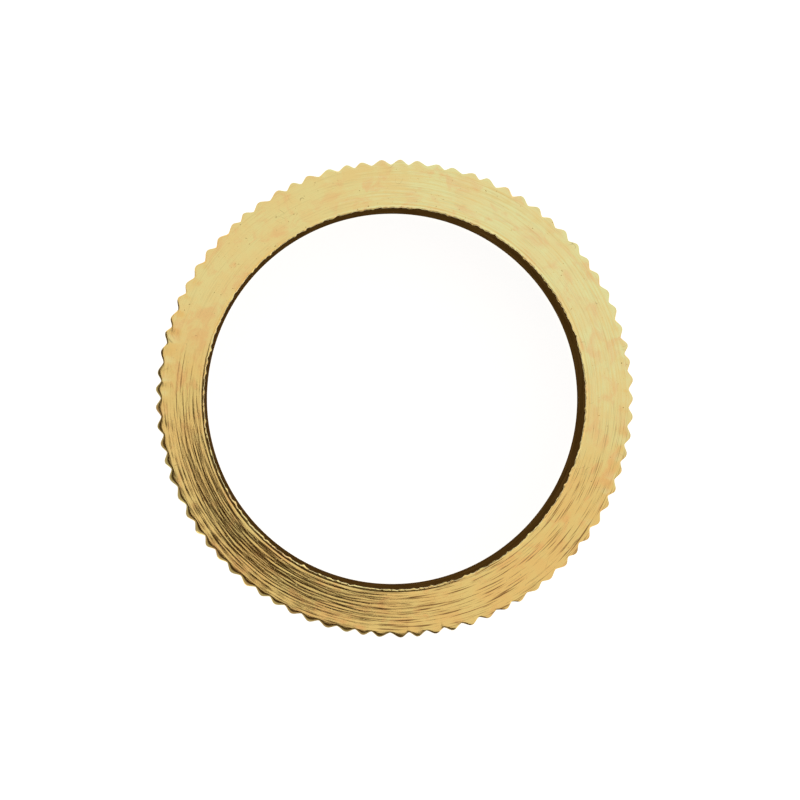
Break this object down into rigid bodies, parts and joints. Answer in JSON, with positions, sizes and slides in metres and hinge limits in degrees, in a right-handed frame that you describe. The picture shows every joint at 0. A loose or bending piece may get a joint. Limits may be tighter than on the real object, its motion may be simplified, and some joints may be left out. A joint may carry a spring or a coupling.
{
  "type": "finger ring row counter",
  "caption": "Brass knitting row counter worn as a ring: two numbered wheels turn on a sleeve between straight-knurled rims.",
  "frame": {"origin": "centre of the bore in the rear face, which is the flat outer face of the ring nut that the ring lies on", "axes": "+Z along the ring's axis towards the front rim's face, -Y through the line where the count is read"},
  "size_m": [0.0258, 0.0258, 0.0098],
  "materials": {
    "turned_brass": "fine turned, lightly tarnished",
    "wheel_brass": "fine turned",
    "numeral_enamel": "enamel fill",
    "mark_enamel": "enamel fill",
    "spring_steel": "rolled strip",
    "screw_steel": "turned",
    "washer_nylon": "natural nylon"
  },
  "bodies": {
    "frame": {"finger_sleeve": "turned_brass", "front_thrust_washer": "washer_nylon", "tens_detent_spring": "spring_steel", "tens_inner_washer": "washer_nylon", "reading_ring": "turned_brass", "reading_diamond_enamel": "mark_enamel", "ones_inner_washer": "washer_nylon", "ones_detent_spring": "spring_steel", "rear_thrust_washer": "washer_nylon", "wave_spring": "spring_steel", "ring_nut": "turned_brass", "lock_screw": "screw_steel"},
    "tens": {"tens_wheel": "wheel_brass", "tens_numeral_enamel": "numeral_enamel"},
    "ones": {"ones_wheel": "wheel_brass", "ones_numeral_enamel": "numeral_enamel"}
  },
  "joints": [
    {"name": "tens_wheel_turn", "type": "hinge", "parent": "frame", "child": "tens", "pos_m": [0, 0, 0.00694], "axis": [0, 0, 1], "continuous": true, "deforming": ["tens_detent_spring"]},
    {"name": "ones_wheel_turn", "type": "hinge", "parent": "frame", "child": "ones", "pos_m": [0, 0, 0.00318], "axis": [0, 0, 1], "continuous": true, "deforming": ["ones_detent_spring"]}
  ]
}
